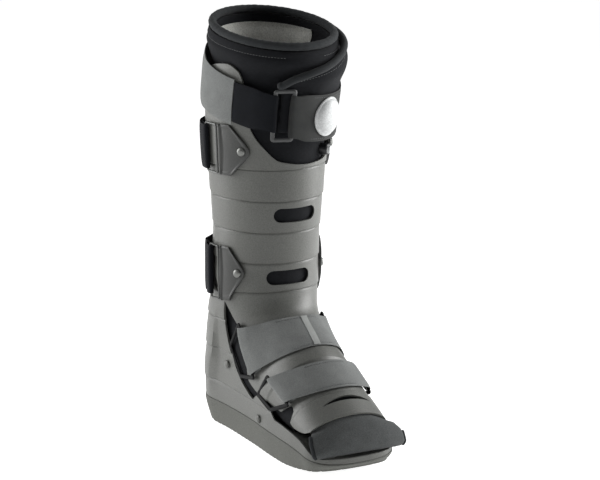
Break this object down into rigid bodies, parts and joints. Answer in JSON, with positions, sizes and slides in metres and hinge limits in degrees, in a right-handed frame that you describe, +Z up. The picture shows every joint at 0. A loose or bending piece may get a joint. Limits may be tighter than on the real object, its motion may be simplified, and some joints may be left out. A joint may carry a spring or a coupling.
{
  "type": "medical walking boot",
  "caption": "Tall walking boot that holds a lower leg: rigid front and rear shells over a padded soft boot, with a rocker sole, straps and an air pump.",
  "frame": {"origin": "on the floor, under the middle of the calf", "axes": "+Z up along the calf, the toe points along -Y, +X is the pump side"},
  "size_m": [0.1558, 0.303, 0.4726],
  "materials": {
    "sole_rubber": "matte moulded sole",
    "shell_plastic": "fine grained moulding",
    "liner_fabric": "brushed padded fabric",
    "binding_fabric": "knitted edge binding",
    "toe_fabric": "brushed padded fabric",
    "pale_lining": "soft pale lining",
    "grey_webbing": "brushed strap fabric",
    "hook_webbing": "black strap fabric",
    "panel_webbing": "dark grey strap fabric",
    "buckle_nylon": "moulded nylon",
    "plate_nylon": "moulded nylon",
    "steel_wire": "bent wire",
    "rivet_steel": "pressed rivet",
    "pump_silicone": "smooth white silicone",
    "valve_black": "moulded black collar"
  },
  "bodies": {
    "boot": {"rocker_sole": "sole_rubber", "rear_shell": "shell_plastic", "front_shell": "shell_plastic", "liner": "liner_fabric", "rim_binding": "binding_fabric", "lining_pad": "pale_lining", "cuff_flap": "liner_fabric", "flap_binding": "binding_fabric", "top_strap": "grey_webbing", "hook_strap": "hook_webbing", "pump_panel": "panel_webbing", "ring_buckle": "buckle_nylon", "pump_bulb": "pump_silicone", "valve_collar": "valve_black", "upper_plate_left": "plate_nylon", "upper_loop_left": "steel_wire", "upper_rivet_left": "rivet_steel", "upper_plate_right": "plate_nylon", "upper_loop_right": "steel_wire", "upper_rivet_right": "rivet_steel", "upper_calf_strap": "hook_webbing", "lower_plate_left": "plate_nylon", "lower_loop_left": "steel_wire", "lower_rivet_left": "rivet_steel", "lower_plate_right": "plate_nylon", "lower_loop_right": "steel_wire", "lower_rivet_right": "rivet_steel", "lower_calf_strap": "hook_webbing", "ankle_strap": "grey_webbing", "ankle_loop_left": "buckle_nylon", "ankle_rivet_left": "shell_plastic", "ankle_loop_right": "buckle_nylon", "ankle_rivet_right": "shell_plastic", "forefoot_strap": "grey_webbing", "forefoot_loop_left": "buckle_nylon", "forefoot_rivet_left": "shell_plastic", "forefoot_loop_right": "buckle_nylon", "forefoot_rivet_right": "shell_plastic", "toe_cover": "toe_fabric", "toe_piping_left": "binding_fabric", "toe_piping_right": "binding_fabric"},
    "button": {"valve_button": "pump_silicone"}
  },
  "joints": [
    {"name": "valve_press", "type": "slide", "parent": "boot", "child": "button", "axis": [-0.6571, 0.7499, 0.0767], "range_m": [0, 0.0015], "stiffness_N_per_m": 400}
  ]
}
